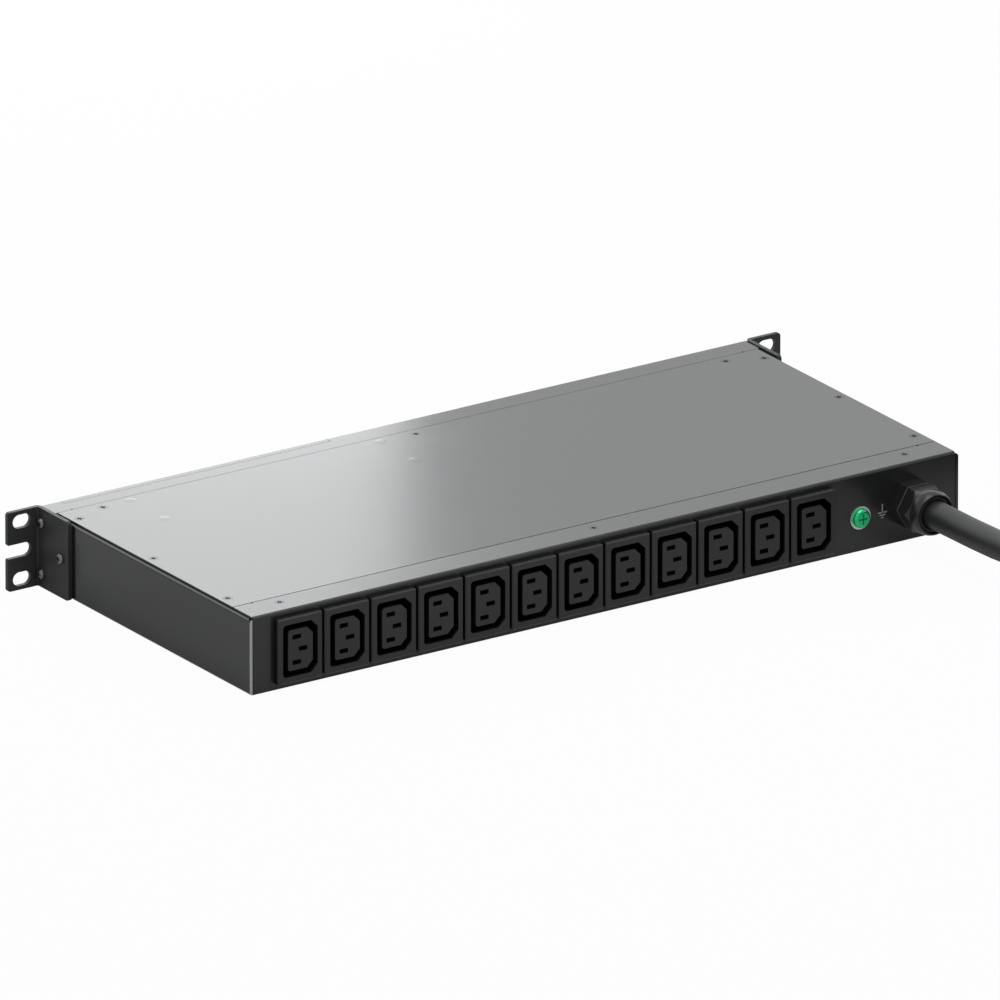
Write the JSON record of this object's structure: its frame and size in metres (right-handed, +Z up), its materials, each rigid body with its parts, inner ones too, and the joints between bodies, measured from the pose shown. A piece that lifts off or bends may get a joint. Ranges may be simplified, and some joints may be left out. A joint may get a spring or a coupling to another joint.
{
  "type": "rack power distribution unit",
  "caption": "Flat rack-mount power distribution unit: black steel case with ears, a row of appliance outlets, an earth screw and a glanded supply cord with plug at the rear.",
  "frame": {"origin": "midpoint of the four closed ear slots, in the front plane of the ears", "axes": "+X to the unit's right seen from the front, +Y to the rear, +Z up"},
  "size_m": [0.6345, 0.462, 0.064],
  "materials": {
    "black_steel": "satin black powder coat",
    "fascia_plastic": "matt black moulding",
    "black_screws": "black zinc",
    "outlet_plastic": "black moulded thermoplastic",
    "contact_brass": "tinned brass strip",
    "bar_copper": "bare copper strip",
    "brown_insulation": "brown core insulation",
    "blue_insulation": "blue core insulation",
    "green_yellow_insulation": "green and yellow core insulation",
    "zinc_steel": "bright zinc plate",
    "green_screw": "green enamel",
    "gland_plastic": "dark polyamide",
    "seal_rubber": "black rubber",
    "cord_rubber": "black rubber sheath",
    "tie_fabric": "black hook-and-loop tape",
    "plug_grey": "grey polyamide",
    "plug_blue": "blue polyamide",
    "pin_brass": "nickelled brass",
    "board_green": "green laminate"
  },
  "bodies": {
    "root": {"chassis_tray": "black_steel", "rear_panel": "black_steel", "top_cover": "black_steel", "right_bracket": "black_steel", "left_bracket": "black_steel", "front_fascia": "fascia_plastic", "cover_screws": "black_screws", "right_bracket_screws": "black_screws", "left_bracket_screws": "black_screws", "outlet_01": "outlet_plastic", "outlet_01_contacts": "contact_brass", "outlet_02": "outlet_plastic", "outlet_02_contacts": "contact_brass", "outlet_03": "outlet_plastic", "outlet_03_contacts": "contact_brass", "outlet_04": "outlet_plastic", "outlet_04_contacts": "contact_brass", "outlet_05": "outlet_plastic", "outlet_05_contacts": "contact_brass", "outlet_06": "outlet_plastic", "outlet_06_contacts": "contact_brass", "outlet_07": "outlet_plastic", "outlet_07_contacts": "contact_brass", "outlet_08": "outlet_plastic", "outlet_08_contacts": "contact_brass", "outlet_09": "outlet_plastic", "outlet_09_contacts": "contact_brass", "outlet_10": "outlet_plastic", "outlet_10_contacts": "contact_brass", "outlet_11": "outlet_plastic", "outlet_11_contacts": "contact_brass", "outlet_12": "outlet_plastic", "outlet_12_contacts": "contact_brass", "live_bar": "bar_copper", "neutral_bar": "bar_copper", "earth_bar": "bar_copper", "live_lead": "brown_insulation", "neutral_lead": "blue_insulation", "earth_lead": "green_yellow_insulation", "bar_screws": "zinc_steel", "earth_screw": "green_screw", "earth_washer": "zinc_steel", "earth_nut": "zinc_steel", "gland_body": "gland_plastic", "gland_nut": "gland_plastic", "gland_locknut": "gland_plastic", "gland_seal": "seal_rubber", "power_cord": "cord_rubber", "cord_coil": "cord_rubber", "cord_tail": "cord_rubber", "cord_tie": "tie_fabric", "plug_nut": "plug_grey", "plug_body": "plug_blue", "plug_shroud": "plug_blue", "plug_pins": "pin_brass", "board_standoffs": "zinc_steel", "control_board": "board_green", "board_screws": "zinc_steel"}
  },
  "joints": []
}
